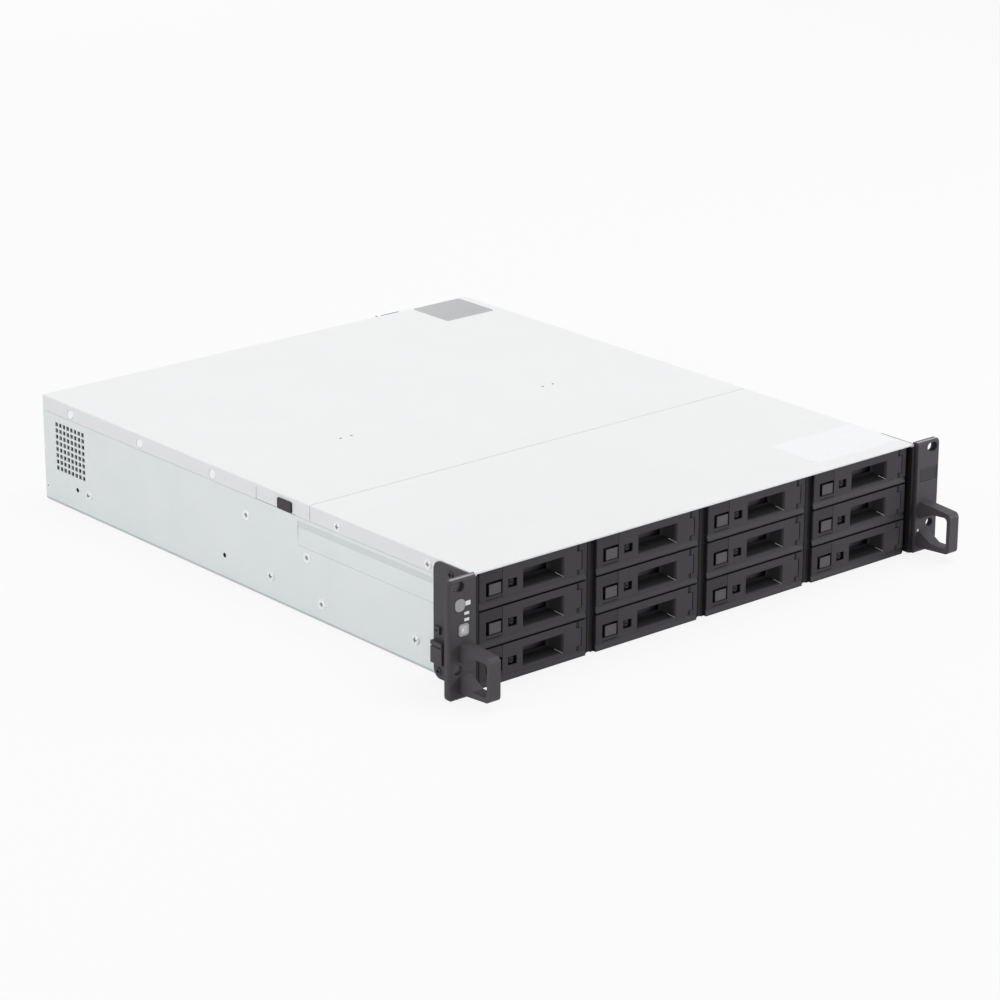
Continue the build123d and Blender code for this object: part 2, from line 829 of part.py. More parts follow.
# Black trim strips: flush with the shoulders between the columns, stepped forward at the
# sides to cap the front edges of the walls
trim_clear = 0.3
trim_front = front_y + bezel_setback + shoulder_setback
trim_top = first_tray + (rows - 1) * row_pitch - tray_lift + bezel_height
cap_front = shell_front - slip - sheet
with BuildPart() as trim:
    with BuildSketch(front_plane(trim_front)):
        for line in range(1, columns):
            middle = (line - columns / 2) * column_pitch
            reach = tray_gap / 2 - trim_clear
            between(middle - reach, middle + reach, sheet, trim_top)
    extrude(amount=-(cage_front - trim_front))
with BuildPart() as side_trim:
    with BuildSketch(Plane.XY.offset(sheet)):
        for side in (-1, 1):
            tray_face = side * (half_width - sheet - side_gap + trim_clear)
            wall_face = side * (half_width - 2 * sheet - slip)
            outer_face = side * (half_width - slip)
            with BuildLine():
                Polyline(
                    (tray_face, cap_front),
                    (outer_face, cap_front),
                    (outer_face, cap_front + sheet),
                    (wall_face, cap_front + sheet),
                    (wall_face, cage_front),
                    (tray_face, cage_front),
                    close=True,
                )
            make_face()
    extrude(amount=trim_top - sheet)
save_group([*trim.part.solids(), *side_trim.part.solids()], "bay_trim")

# Backplane with a drive connector for each bay
backplane_gap = 14.0
backplane_front = front_y + bezel_setback + tray_length + backplane_gap
backplane_sheet = 1.6
backplane_margin = 1.0
connector_width = 34.0
connector_height = 6.0
connector_depth = 6.5
connector_offset = 24.0
air_slot_height = 9.0
air_slot_rise = 5.1
with BuildPart() as backplane:
    with BuildSketch(front_plane(backplane_front)):
        edge = upper_wall - sheet - backplane_margin
        between(-edge, edge, sheet, wall_top - backplane_margin)
        for row in range(rows):
            for column in range(columns):
                middle = column_middle(column)
                low = first_tray + tray_floor + row * row_pitch
                air_slot_low = low + connector_height + air_slot_rise
                between(
                    middle - drive_width / 3,
                    middle + drive_width / 3,
                    air_slot_low,
                    air_slot_low + air_slot_height,
                    mode=Mode.SUBTRACT,
                )
    extrude(amount=-backplane_sheet)
    with BuildSketch(front_plane(backplane_front)):
        for row in range(rows):
            for column in range(columns):
                middle = column_middle(column) - connector_offset
                low = first_tray + tray_floor + row * row_pitch + 2 * seat_gap
                between(
                    middle - connector_width / 2,
                    middle + connector_width / 2,
                    low,
                    low + connector_height,
                )
    extrude(amount=connector_depth)
save(backplane.part, "backplane")

# Fans: one behind each column
fan_size = 80.0
fan_depth = 38.0
fan_bore = 37.5
fan_hub = 17.0
fan_gap = 6.4
fan_front = backplane_front + backplane_sheet + fan_gap
fan_blades = 7
blade_thickness = 1.6
blade_pitch = 38.0
blade_chord = 24.0
blade_tip_clear = 1.2
spider_depth = 5.0
spider_arm = 4.0
shaft_radius = 1.5
shaft_clear = 0.05
rotor_gap = 1.0
rotor_setback = 2.0
rotor_front = fan_front + rotor_setback
rotor_depth = fan_depth - spider_depth - rotor_setback - rotor_gap
motor_seat = fan_front + fan_depth - spider_depth

frames = []
for column in range(columns):
    middle = column_middle(column)
    fan_axis = (middle, sheet + fan_size / 2)
    with BuildPart() as fan_frame:
        with BuildSketch(front_plane(fan_front)):
            with Locations(fan_axis):
                Rectangle(fan_size, fan_size)
                Circle(fan_bore, mode=Mode.SUBTRACT)
        extrude(amount=-fan_depth)
        with BuildSketch(front_plane(motor_seat)):
            with Locations(fan_axis):
                Circle(fan_hub)
                Rectangle(2 * fan_bore + overrun, spider_arm)
                Rectangle(spider_arm, 2 * fan_bore + overrun)
                Circle(shaft_radius + shaft_clear, mode=Mode.SUBTRACT)
        extrude(amount=-spider_depth)
    frames.append(fan_frame.part)
    with BuildPart() as rotor:
        with BuildSketch(front_plane(rotor_front)):
            with Locations(fan_axis):
                Circle(fan_hub)
        extrude(amount=-rotor_depth)
        with BuildSketch(front_plane(rotor_front + rotor_depth)):
            with Locations(fan_axis):
                Circle(shaft_radius)
        extrude(amount=-(rotor_gap + spider_depth))
        blade_length = fan_bore - blade_tip_clear
        hub_middle = (fan_axis[0], rotor_front + rotor_depth / 2, fan_axis[1])
        for blade in range(fan_blades):
            turn = Vector(1, 0, 0).rotate(Axis.Y, blade * 360 / fan_blades)
            chord = Vector(0, 1, 0).rotate(Axis(hub_middle, turn), blade_pitch)
            with BuildSketch(Plane(origin=hub_middle, x_dir=chord, z_dir=turn)):
                Rectangle(blade_chord, blade_thickness)
            extrude(amount=blade_length)
    save(rotor.part, f"fan_rotor_{column + 1}")
save_group(frames, "fan_frames")

# Mainboard on standoffs, with processor cooler, memory and card slots
board_margin = 8.0
board_to_bay = 4.0
board_to_fans = 66.0
board_to_wall = 1.0
board_left = -half_width + sheet + board_margin
board_right = bay_left - board_to_bay
board_front = fan_front + fan_depth + board_to_fans
board_rear = rear_y - sheet - board_to_wall
board_length = board_rear - board_front
standoff_radius = 3.0
standoff_inset = 8.0
cooler_size = 90.0
cooler_height = 60.0
cooler_base = 6.0
cooler_x = -20.0
cooler_share = 0.38
cooler_y = board_front + cooler_share * board_length
fin_pitch = 11.0
fin_thickness = 1.6
memory_share = 0.59
memory_length = memory_share * board_length
memory_height = 30.0
memory_count = 4
memory_thickness = 4.0
memory_pitch = 11.0
memory_x = -120.0
card_slot = (9.0, 40.0, 11.0)
with BuildPart() as board:
    with BuildSketch(Plane.XY.offset(sheet + board_height)):
        between(board_left, board_right, board_front, board_rear)
    extrude(amount=board_sheet)
    with BuildSketch(Plane.XY.offset(sheet)):
        with Locations(((board_left + board_right) / 2, (board_front + board_rear) / 2)):
            with GridLocations(
                board_right - board_left - 2 * standoff_inset,
                board_rear - board_front - 2 * standoff_inset,
                2,
                2,
            ):
                Circle(standoff_radius)
    extrude(amount=board_height)
    with BuildSketch(Plane.XY.offset(board_top)):
        with Locations((memory_x, cooler_y)):
            with GridLocations(memory_pitch, 0, memory_count, 1):
                Rectangle(memory_thickness, memory_length)
    extrude(amount=memory_height)
    with BuildSketch(Plane.XY.offset(board_top)):
        for slot_x in slot_places:
            with Locations((slot_x, board_rear - card_slot[1])):
                Rectangle(card_slot[0], card_slot[1])
    extrude(amount=card_slot[2])
with BuildPart() as cooler:
    with BuildSketch(front_plane(cooler_y - cooler_size / 2)):
        low = board_top
        between(cooler_x - cooler_size / 2, cooler_x + cooler_size / 2, low, low + cooler_base)
        fins = int(cooler_size / fin_pitch)
        with Locations((cooler_x, low + cooler_height / 2)):
            with GridLocations(fin_pitch, 0, fins, 1):
                Rectangle(fin_thickness, cooler_height)
    extrude(amount=-cooler_size)
save_group([board.part, cooler.part], "mainboard")

# Rear ports on the board: network jacks and a double serial-bus socket
port_wall = 1.2
port_recess = 12.0
usb_recess = 9.0
usb_opening = (12.5, 5.2)
usb_tongue = 1.8
usb_tongue_share = 0.8
port_proud = 0.8
port_rear = rear_y + port_proud
ports = []
for number in range(port_count):
    port_x = port_first_x - number * port_pitch
    with BuildPart() as jack:
        with BuildSketch(front_plane(port_rear)):
            between(port_x - port_width / 2, port_x + port_width / 2, board_top, board_top + port_height)
        extrude(amount=port_depth)
        with BuildSketch(front_plane(port_rear)):
            between(
                port_x - port_width / 2 + 2 * port_wall,
                port_x + port_width / 2 - 2 * port_wall,
                board_top + 2 * port_wall,
                board_top + port_height - 2 * port_wall,
            )
            between(
                port_x - port_width / 5,
                port_x + port_width / 5,
                board_top + port_wall,
                board_top + port_height / 2,
            )
        extrude(amount=port_recess, mode=Mode.SUBTRACT)
    ports.append(jack.part)
with BuildPart() as usb:
    with BuildSketch(front_plane(port_rear)):
        between(usb_x - usb_width / 2, usb_x + usb_width / 2, board_top, board_top + usb_height)
    extrude(amount=port_depth)
    with BuildSketch(front_plane(port_rear)):
        with Locations((usb_x, board_top + usb_height / 2)):
            with GridLocations(0, usb_height / 2, 1, 2):
                Rectangle(usb_opening[0], usb_opening[1])
                with Locations((0, usb_tongue / 2)):
                    Rectangle(usb_opening[0] * usb_tongue_share, usb_tongue, mode=Mode.SUBTRACT)
    extrude(amount=usb_recess, mode=Mode.SUBTRACT)
ports.append(usb.part)
save_group(ports, "rear_ports")

# Power supplies with handle, inlet, fan grille and a sliding release latch
supply_proud = 1.0
supply_rear = rear_y + supply_proud
handle_bar_size = 3.2
grip_width = 25.0
grip_reach = 20.0
grip_inset = 1.5
grip_left = supply_left + grip_inset
grip_rise = 34.0
inlet_width = 24.0
inlet_height = 17.0
inlet_recess = 14.0
inlet_inset = 16.0
inlet_x = supply_right - inlet_inset
inlet_z = 11.5
supply_fan_radius = 17.0
supply_fan_recess = 2.5
supply_fan_inset = 25.0
supply_fan_x = supply_left + supply_fan_inset
supply_hub_share = 0.45
grille_bar = 1.6
latch_tab = (7.0, 14.0)
latch_tab_inset = 8.0
latch_tab_x = supply_right - latch_tab_inset
latch_tab_z = 30.0
latch_reach = 9.0
latch_slide = 3.0
latch_wall = 1.5
for number, floor_z in enumerate(supply_floors, start=1):
    with BuildPart() as supply:
        with BuildSketch(front_plane(supply_rear)):
            between(supply_left, supply_right, floor_z, floor_z + supply_height)
        extrude(amount=supply_length)
        # Inlet for a mains connector
        with BuildSketch(front_plane(supply_rear)):
            with Locations((inlet_x, floor_z + inlet_z)):
                RectangleRounded(inlet_width, inlet_height, latch_wall)
        extrude(amount=inlet_recess, mode=Mode.SUBTRACT)
        # Exhaust recess with a cross-shaped guard left standing
        with BuildSketch(front_plane(supply_rear)):
            with Locations((supply_fan_x, floor_z + supply_height / 2)):
                Circle(supply_fan_radius)
                Circle(supply_fan_radius * supply_hub_share, mode=Mode.SUBTRACT)
                Rectangle(2 * supply_fan_radius, grille_bar, mode=Mode.SUBTRACT)
                Rectangle(grille_bar, 2 * supply_fan_radius, mode=Mode.SUBTRACT)
        extrude(amount=supply_fan_recess, mode=Mode.SUBTRACT)
        # Slot in which the latch tab slides
        with BuildSketch(front_plane(supply_rear)):
            with Locations((latch_tab_x - latch_slide / 2, floor_z + latch_tab_z)):
                Rectangle(latch_tab[0] + latch_slide + 2 * seat_gap, latch_tab[1] + 2 * seat_gap)
        extrude(amount=2 * latch_wall, mode=Mode.SUBTRACT)
        # Pull handle
        with BuildSketch(Plane.XY.offset(floor_z + grip_rise)):
            between(grip_left, grip_left + grip_width, supply_rear, supply_rear + grip_reach)
            between(
                grip_left + handle_bar_size,
                grip_left + grip_width - handle_bar_size,
                supply_rear,
                supply_rear + grip_reach - handle_bar_size,
                mode=Mode.SUBTRACT,
            )
        extrude(amount=handle_bar_size)
    save(supply.part, f"power_supply_{number}")
    with BuildPart() as catch:
        with BuildSketch(front_plane(supply_rear - 2 * latch_wall + seat_gap)):
            with Locations((latch_tab_x, floor_z + latch_tab_z)):
                Rectangle(*latch_tab)
        extrude(amount=-(2 * latch_wall - seat_gap + slip))
        with BuildSketch(front_plane(supply_rear)):
            with Locations((latch_tab_x, floor_z + latch_tab_z)):
                Rectangle(latch_wall, latch_tab[1])
        extrude(amount=-latch_reach)
    save(catch.part, f"supply_latch_{number}")
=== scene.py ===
import json
import math

import bpy
import numpy as np
from mathutils import Matrix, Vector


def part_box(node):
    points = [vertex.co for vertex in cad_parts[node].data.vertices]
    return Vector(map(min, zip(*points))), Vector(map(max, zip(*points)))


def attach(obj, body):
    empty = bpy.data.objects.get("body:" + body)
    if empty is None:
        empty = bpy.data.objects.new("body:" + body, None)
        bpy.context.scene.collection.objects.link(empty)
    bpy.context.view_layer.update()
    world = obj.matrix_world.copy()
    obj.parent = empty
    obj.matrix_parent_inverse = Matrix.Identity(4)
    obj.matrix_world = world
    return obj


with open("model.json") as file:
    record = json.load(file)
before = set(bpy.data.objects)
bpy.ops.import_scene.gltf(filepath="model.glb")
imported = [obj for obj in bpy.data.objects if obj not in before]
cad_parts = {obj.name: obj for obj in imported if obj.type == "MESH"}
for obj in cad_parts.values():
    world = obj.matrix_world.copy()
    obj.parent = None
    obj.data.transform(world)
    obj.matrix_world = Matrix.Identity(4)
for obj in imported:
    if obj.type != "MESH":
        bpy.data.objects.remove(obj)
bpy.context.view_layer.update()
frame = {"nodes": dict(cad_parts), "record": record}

scene = bpy.context.scene
millimetre = 0.001

# The object's main planes; every y that is measured on the object starts at the ears' front
bezelThick = 2.9 * millimetre
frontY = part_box("rack_ears")[0][1] - bezelThick
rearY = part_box("chassis")[1][1]
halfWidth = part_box("chassis")[1][0]
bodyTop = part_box("rear_lid")[1][2]


print("stage: camera and light")

view = {
    "place": (-1.66144, -1.97601, 0.92553),
    "yaw": 40.555,
    "pitch": 19.296,
    "roll": 0.157,
    "lens": 127.557,
    "sensor": 36.0,
    "clipEnd": 50.0,
}


def standing(axes, place):
    # matrix that turns an object's own axes to these and stands it at the place
    rows = [[axis[i] for axis in axes] + [place[i]] for i in range(3)]
    return Matrix(rows + [[0, 0, 0, 1]])


def unit(vector):
    # the vector divided by its own length
    return vector / np.linalg.norm(vector)


yaw, pitch, roll = (math.radians(view[key]) for key in ("yaw", "pitch", "roll"))
forward = np.array(
    [math.sin(yaw) * math.cos(pitch), math.cos(yaw) * math.cos(pitch), -math.sin(pitch)]
)
level = np.array([math.cos(yaw), -math.sin(yaw), 0.0])
upright = np.cross(level, forward)
right = level * math.cos(roll) + upright * math.sin(roll)
up = upright * math.cos(roll) - level * math.sin(roll)
cameraData = bpy.data.cameras.new("photoCamera")
cameraData.lens = view["lens"]
cameraData.sensor_width = view["sensor"]
cameraData.clip_end = view["clipEnd"]
cameraObject = bpy.data.objects.new("photoCamera", cameraData)
scene.collection.objects.link(cameraObject)
cameraObject.matrix_world = standing((right, up, -forward), view["place"])
scene.camera = cameraObject
scene.view_settings.view_transform = "Standard"

lamps = {
    "keyLamp": {"place": (-2.6, 0.0, 1.25), "size": 1.5, "watts": 29},
    "topLamp": {"place": (0.9, -0.3, 2.4), "size": 2.0, "watts": 27},
    "fillLamp": {"place": (2.2, -1.9, 0.7), "size": 1.2, "watts": 32},
    "rearLamp": {"place": (0.9, 2.4, 1.2), "size": 1.8, "watts": 13},
}
lampAim = (0.0, 0.0, 0.05)  # just above the floor, at the object's middle
for name, lamp in lamps.items():
    data = bpy.data.lights.new(name, "AREA")
    data.shape = "SQUARE"
    data.size = lamp["size"]
    data.energy = lamp["watts"]
    lampObject = bpy.data.objects.new(name, data)
    scene.collection.objects.link(lampObject)
    away = unit(np.array(lamp["place"]) - np.array(lampAim))
    side = unit(np.cross((0.0, 0.0, 1.0), away))
    lampObject.matrix_world = standing((side, np.cross(away, side), away), lamp["place"])


def hexToLinear(code):
    # sRGB hex to linear: the standard transfer curve, per channel
    channels = [int(code[i : i + 2], 16) / 255 for i in (1, 3, 5)]
    return [c / 12.92 if c <= 0.04045 else ((c + 0.055) / 1.055) ** 2.4 for c in channels] + [1.0]


def emptyTree(owner):
    # the node tree of a world or a material, cleared
    owner.use_nodes = True
    owner.node_tree.nodes.clear()
    return owner.node_tree


def addNode(tree, kind, settings=None, links=None):
    # one node, its settings by socket or property name, its inputs by link
    node = tree.nodes.new(kind)
    for key, value in (settings or {}).items():
        if isinstance(key, int) or key in node.inputs:
            node.inputs[key].default_value = value
        else:
            setattr(node, key, value)
    for key, source in (links or {}).items():
        tree.links.new(source, node.inputs[key])
    return node


def seenDirectly(tree):
    # 1 for camera, glossy and transmission rays, so metal shows the white background too
    path = addNode(tree, "ShaderNodeLightPath")
    seen = path.outputs["Is Camera Ray"]
    for ray in ("Is Glossy Ray", "Is Transmission Ray"):
        both = {0: seen, 1: path.outputs[ray]}
        seen = addNode(tree, "ShaderNodeMath", {"operation": "MAXIMUM"}, both).outputs[0]
    return seen


def blended(tree, amount, lit, seen):
    # the lit shader, going over to the seen one by the amount
    return addNode(tree, "ShaderNodeMixShader", None, {0: amount, 1: lit, 2: seen}).outputs[0]


studio = {
    "skyColour": "#E9EDF1",
    "skyStrength": 0.38,
    "floorColour": "#F1F1F0",
    "floorLift": 0.86,
    "floorReach": 9.0,
}
plainWhite = {"Color": (1, 1, 1, 1), "Strength": 1.0}

world = bpy.data.worlds.new("studio")
scene.world = world
tree = emptyTree(world)
sky = {"Color": hexToLinear(studio["skyColour"]), "Strength": studio["skyStrength"]}
lightPart = addNode(tree, "ShaderNodeBackground", sky)
seenPart = addNode(tree, "ShaderNodeBackground", plainWhite)
surround = blended(tree, seenDirectly(tree), lightPart.outputs[0], seenPart.outputs[0])
addNode(tree, "ShaderNodeOutputWorld", None, {"Surface": surround})

# Matt floor that keeps the object's shadow; most of its own white shows only to the eye
floorMaterial = bpy.data.materials.new("paleStudioFloor")
tree = emptyTree(floorMaterial)
matt = addNode(tree, "ShaderNodeBsdfDiffuse", {"Color": hexToLinear(studio["floorColour"])})
glow = addNode(tree, "ShaderNodeEmission", plainWhite)
lift = {"operation": "MULTIPLY", 1: studio["floorLift"]}
lifted = addNode(tree, "ShaderNodeMath", lift, {0: seenDirectly(tree)})
ground = blended(tree, lifted.outputs[0], matt.outputs[0], glow.outputs[0])
addNode(tree, "ShaderNodeOutputMaterial", None, {"Surface": ground})
floorMesh = bpy.data.meshes.new("studioFloor")
reach = studio["floorReach"]
corners = [(-reach, -reach, 0), (reach, -reach, 0), (reach, reach, 0), (-reach, reach, 0)]
floorMesh.from_pydata(corners, [], [(0, 1, 2, 3)])
floorMesh.materials.append(floorMaterial)
studioFloor = bpy.data.objects.new("studioFloor", floorMesh)
scene.collection.objects.link(studioFloor)


print("stage: materials")

# What the finishes share; turnsDown: the normal's upward part where the painted shade below
# starts and where it is full
finishHabits = {
    "driftDetail": 3.0,
    "grainDetail": 2.0,
    "roughSpread": 0.06,
    "bumpStrength": 0.5,
    "turnsDown": (-0.04, -0.3),
    "bevelSamples": 4,
}


def perMetre(size):
    # noise scale that gives features of this size in millimetres
    return 1000.0 / size


def shadedOver(tree, colour, amount, shade):
    # the colour goes over to another shade where the amount rises from 0 to 1
    over = {"data_type": "RGBA", 7: hexToLinear(shade)}
    return addNode(tree, "ShaderNodeMix", over, {0: amount, 6: colour}).outputs[2]


def grained(
    name,
    tones,
    roughness,
    grain,
    depth,
    metallic=0.0,
    patch=60.0,
    specular=0.5,
    bands=(),
    below=None,
    hollow=None,
    edge=None,
):
    # colour drifts between two tones over patches; a fine grain moves roughness and bump.
    # grain, depth and patch: sizes in mm; bands: (axis, where it starts, where it ends, shade) in
    # mm, y from the ears' front, mostly painted shade and light, one a real change of colour;
    # below: painted shade on faces that look down; hollow: painted shade where the piece's own
    # attribute says it is sunk; edge: radius in mm over which light rolls round a moulded edge
    material = bpy.data.materials.new(name)
    tree = emptyTree(material)
    where = addNode(tree, "ShaderNodeTexCoord").outputs["Object"]
    shader = {"Metallic": metallic, "Specular IOR Level": specular}
    surface = addNode(tree, "ShaderNodeBsdfPrincipled", shader)
    addNode(tree, "ShaderNodeOutputMaterial", None, {"Surface": surface.outputs[0]})

    patches = {"Scale": perMetre(patch), "Detail": finishHabits["driftDetail"]}
    drift = addNode(tree, "ShaderNodeTexNoise", patches, {"Vector": where})
    pair = {"data_type": "RGBA", 6: hexToLinear(tones[0]), 7: hexToLinear(tones[1])}
    painted = addNode(tree, "ShaderNodeMix", pair, {0: drift.outputs[0]}).outputs[2]
    # bands: painted shade and painted light by place, and a real change of colour
    for axis, start, end, shade in bands:
        along = addNode(tree, "ShaderNodeSeparateXYZ", None, {0: where}).outputs["xyz".index(axis)]
        zero = frontY if axis == "y" else 0.0
        span = {"From Min": zero + start * millimetre, "From Max": zero + end * millimetre}
        inside = addNode(tree, "ShaderNodeMapRange", span, {"Value": along})
        painted = shadedOver(tree, painted, inside.outputs[0], shade)
    # painted shade on faces that look down
    if below:
        facing = addNode(tree, "ShaderNodeNewGeometry").outputs["Normal"]
        height = addNode(tree, "ShaderNodeSeparateXYZ", None, {0: facing}).outputs[2]
        starts, full = finishHabits["turnsDown"]
        span = {"From Min": starts, "From Max": full}
        under = addNode(tree, "ShaderNodeMapRange", span, {"Value": height})
        painted = shadedOver(tree, painted, under.outputs[0], below)
    # painted shade where the piece's attribute says it is sunk
    if hollow:
        sunk = addNode(tree, "ShaderNodeAttribute", {"attribute_name": "sunk"})
        painted = shadedOver(tree, painted, sunk.outputs["Fac"], hollow)
    tree.links.new(painted, surface.inputs["Base Color"])

    grains = {"Scale": perMetre(grain), "Detail": finishHabits["grainDetail"]}
    fine = addNode(tree, "ShaderNodeTexNoise", grains, {"Vector": where})
    spread = finishHabits["roughSpread"]
    limits = {"To Min": roughness - spread, "To Max": roughness + spread}
    rough = addNode(tree, "ShaderNodeMapRange", limits, {"Value": fine.outputs[0]})
    tree.links.new(rough.outputs[0], surface.inputs["Roughness"])
    relief = {"Strength": finishHabits["bumpStrength"], "Distance": depth * millimetre}
    bump = addNode(tree, "ShaderNodeBump", relief, {"Height": fine.outputs[0]})
    if edge:
        rolled = {"samples": finishHabits["bevelSamples"], "Radius": edge * millimetre}
        tree.links.new(addNode(tree, "ShaderNodeBevel", rolled).outputs[0], bump.inputs["Normal"])
    tree.links.new(bump.outputs[0], surface.inputs["Normal"])
    return material


# White polyester powder coat on steel: a soft satin with a slight orange peel, with painted
# shade on the side flanges
coverTop = bodyTop / millimetre
whitePowderCoat = grained(
    "whitePowderCoatOnSteel",
    ("#F8F8F7", "#F5F5F4"),
    roughness=0.55,
    grain=1.6,
    depth=0.03,
    specular=0.1,
    bands=(("z", coverTop - 0.4, coverTop - 1.2, "#EBEBEB"),),
)
# The hook tongues keep a full gloss, in dimples that nothing rubs
glossPowderCoat = grained(
    "glossWhitePowderCoat",
    ("#FFFFFF", "#FCFCFC"),
    roughness=0.3,
    grain=1.6,
    depth=0.02,
)
# Electro-galvanised sheet: a cool matt grey metal, faintly cloudy, with painted shade on faces
# that turn down and along the bottom bend
galvanisedSheet = grained(
    "electroGalvanisedSteel",
    ("#E6E9E9", "#DEE2E2"),
    roughness=0.46,
    grain=2.2,
    depth=0.01,
    metallic=0.32,
    patch=35.0,
    bands=(("z", 3.8, 2.8, "#CDD1D2"),),
    below="#C0C5C7",
)
# Black powder coat on the ear plates: dull, with a fine peel
blackPowderCoat = grained(
    "blackPowderCoatOnSteel",
    ("#4A474B", "#434044"),
    roughness=0.5,
    grain=1.2,
    depth=0.03,
    specular=0.25,
    edge=0.4,
)
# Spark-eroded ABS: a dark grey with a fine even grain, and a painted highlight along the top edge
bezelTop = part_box("ear_bezel_left")[1][2] / millimetre
bezelAbs = grained(
    "sparkErodedGreyAbs",
    ("#504D51", "#49464A"),
    roughness=0.5,
    grain=0.9,
    depth=0.03,
    specular=0.2,
    edge=0.5,
    bands=(("z", bezelTop - 0.4, bezelTop - 0.2, "#A9A6AA"),),
)
# Drive trays: dark ABS face, painted shade on the set-back shoulders and sides, painted light
# deeper in against the shade, and a steel sled behind
trayAbs = grained(
    "trayGreyAbs",
    ("#383539", "#322F33"),
    roughness=0.48,
    grain=0.9,
    depth=0.03,
    specular=0.2,
    edge=0.5,
    bands=(("y", 6.6, 7.4, "#161416"), ("y", 13.5, 15.5, "#5A565B"), ("y", 20.0, 20.6, "#8F9495")),
)
# Levers: the same ABS a shade paler, with painted shade in the scoop and painted light
# deeper in against the shade
leverAbs = grained(
    "leverGreyAbs",
    ("#454246", "#3E3B3F"),
    roughness=0.46,
    grain=0.9,
    depth=0.03,
    specular=0.15,
    bands=(("y", 5.5, 7.2, "#0D0C0E"), ("y", 12.0, 18.0, "#514D52")),
    edge=0.4,
)
# Moulded keys: a finer grain, so a little shinier than the faces round them, and painted shade
# on their sides
keyAbs = grained(
    "releaseKeyAbs",
    ("#4B484C", "#444145"),
    roughness=0.42,
    grain=0.8,
    depth=0.02,
    bands=(("y", 6.1, 6.5, "#161416"),),
)
# Panel keys: a satin mid grey, and the paler square on the mute key
panelKeyAbs = grained(
    "satinGreyKeyAbs",
    ("#A9A7A8", "#A3A1A2"),
    roughness=0.35,
    grain=0.8,
    depth=0.02,
)
paleKeyAbs = grained(
    "paleGreyKeyMark",
    ("#C9C8C8", "#C4C3C3"),
    roughness=0.35,
    grain=0.8,
    depth=0.02,
)
# Unlit light pipes: milky and smooth
lightPipe = grained(
    "milkyPolycarbonate",
    ("#F4F4F4", "#EDEDED"),
    roughness=0.25,
    grain=1.5,
    depth=0.01,
)
# The lid's latch: plain black nylon with a soft sheen
latchNylon = grained(
    "blackNylon",
    ("#1E1D1F", "#19181A"),
    roughness=0.45,
    grain=0.9,
    depth=0.03,
)
# Strips between the tray columns: flat black, with hardly any highlight
trimNylon = grained(
    "mattBlackTrim",
    ("#141214", "#111011"),
    roughness=0.6,
    grain=0.9,
    depth=0.03,
    specular=0.25,
)
# Circuit boards under a glossy green film
solderMask = grained(
    "greenSolderMask",
    ("#14603A", "#0F5230"),
    roughness=0.3,
    grain=2.5,
    depth=0.02,
)
# Moulded fans: black and slightly shiny
fanPbt = grained(
    "blackFanPbt",
    ("#262527", "#201F21"),
    roughness=0.4,
    grain=1.0,
    depth=0.02,
)
# Bright nickel on drawn shells, a little warm; gold flash on the contacts
nickelShell = grained(
    "nickelPlatedShell",
    ("#C9C7C2", "#BFBDB8"),
    roughness=0.28,
    grain=2.0,
    depth=0.01,
    metallic=1.0,
    patch=12.0,
)
goldContact = grained(
    "goldFlashedContact",
    ("#D9B45C", "#CDA74E"),
    roughness=0.3,
    grain=1.0,
    depth=0.005,
    metallic=1.0,
    patch=6.0,
)
# Zinc-plated supply cases: brighter and more metallic than the chassis
zincSheet = grained(
    "zincPlatedSteel",
    ("#C3C6C7", "#B7BBBD"),
    roughness=0.36,
    grain=2.4,
    depth=0.01,
    metallic=0.85,
    patch=25.0,
)
# Bright zinc on fasteners, with painted shade in the drive and in the bores
zincScrew = grained(
    "brightZincFastener",
    ("#FAFBFB", "#F4F5F5"),
    roughness=0.3,
    grain=1.0,
    depth=0.005,
    metallic=0.1,
    patch=6.0,
    hollow="#8A8E90",
)
# Supply latches: a mid green that stands out from the zinc
greenNylon = grained(
    "greenLatchNylon",
    ("#2F7D5A", "#2A7251"),
    roughness=0.42,
    grain=0.9,
    depth=0.03,
)
# Black zinc screws and die-cast lock cylinders: a dark metal with a soft shine, and painted
# shade in the drives and the key slots
blackZinc = grained(
    "blackZincPlatedScrew",
    ("#3A373A", "#302D30"),
    roughness=0.35,
    grain=1.0,
    depth=0.01,
    metallic=0.5,
    patch=8.0,
    hollow="#121112",
)
lockZinc = grained(
    "dieCastZincLock",
    ("#302E31", "#2A282B"),
    roughness=0.42,
    grain=0.8,
    depth=0.01,
    metallic=0.3,
    patch=6.0,
    specular=0.2,
    hollow="#201F21",
)
# The inside of tapped and lanced holes, where no light reaches
boreShadow = grained(
    "unlitBore",
    ("#0B0B0C", "#080809"),
    roughness=0.8,
    grain=0.8,
    depth=0.01,
    specular=0.1,
)
# Painted highlight on the corner of the moulded scoop, where the light gathers
paintedHighlightFinish = grained(
    "paintedScoopHighlight",
    ("#B9B6BA", "#A9A6AA"),
    roughness=0.3,
    grain=0.8,
    depth=0.01,
)
# Matt black sheet behind the side vent: painted shade that keeps the vent dark
ventShadeFinish = grained(
    "mattBlackVentShade",
    ("#1A191B", "#141315"),
    roughness=0.8,
    grain=1.2,
    depth=0.1,
    specular=0.1,
)
# Polyester label stock, smooth and bare: silver at the rear, white at the front
silverFilm = grained(
    "silverPolyesterFilm",
    ("#A9ABAD", "#A2A4A6"),
    roughness=0.4,
    grain=3.0,
    depth=0.004,
)
whiteFilm = grained(
    "whitePolyesterFilm",
    ("#FBFBFB", "#F7F7F7"),
    roughness=0.3,
    grain=3.0,
    depth=0.004,
)
# Bare plate in the right bezel: smoother and darker than the bezel
plateAbs = grained(
    "satinDarkAbsPlate",
    ("#403D41", "#3A373B"),
    roughness=0.4,
    grain=0.9,
    depth=0.01,
    specular=0.2,
)
# Sockets and housings: an even black, darker than the bezels
socketPbt = grained(
    "blackSocketPbt",
    ("#1B1A1C", "#161517"),
    roughness=0.42,
    grain=0.9,
    depth=0.02,
)

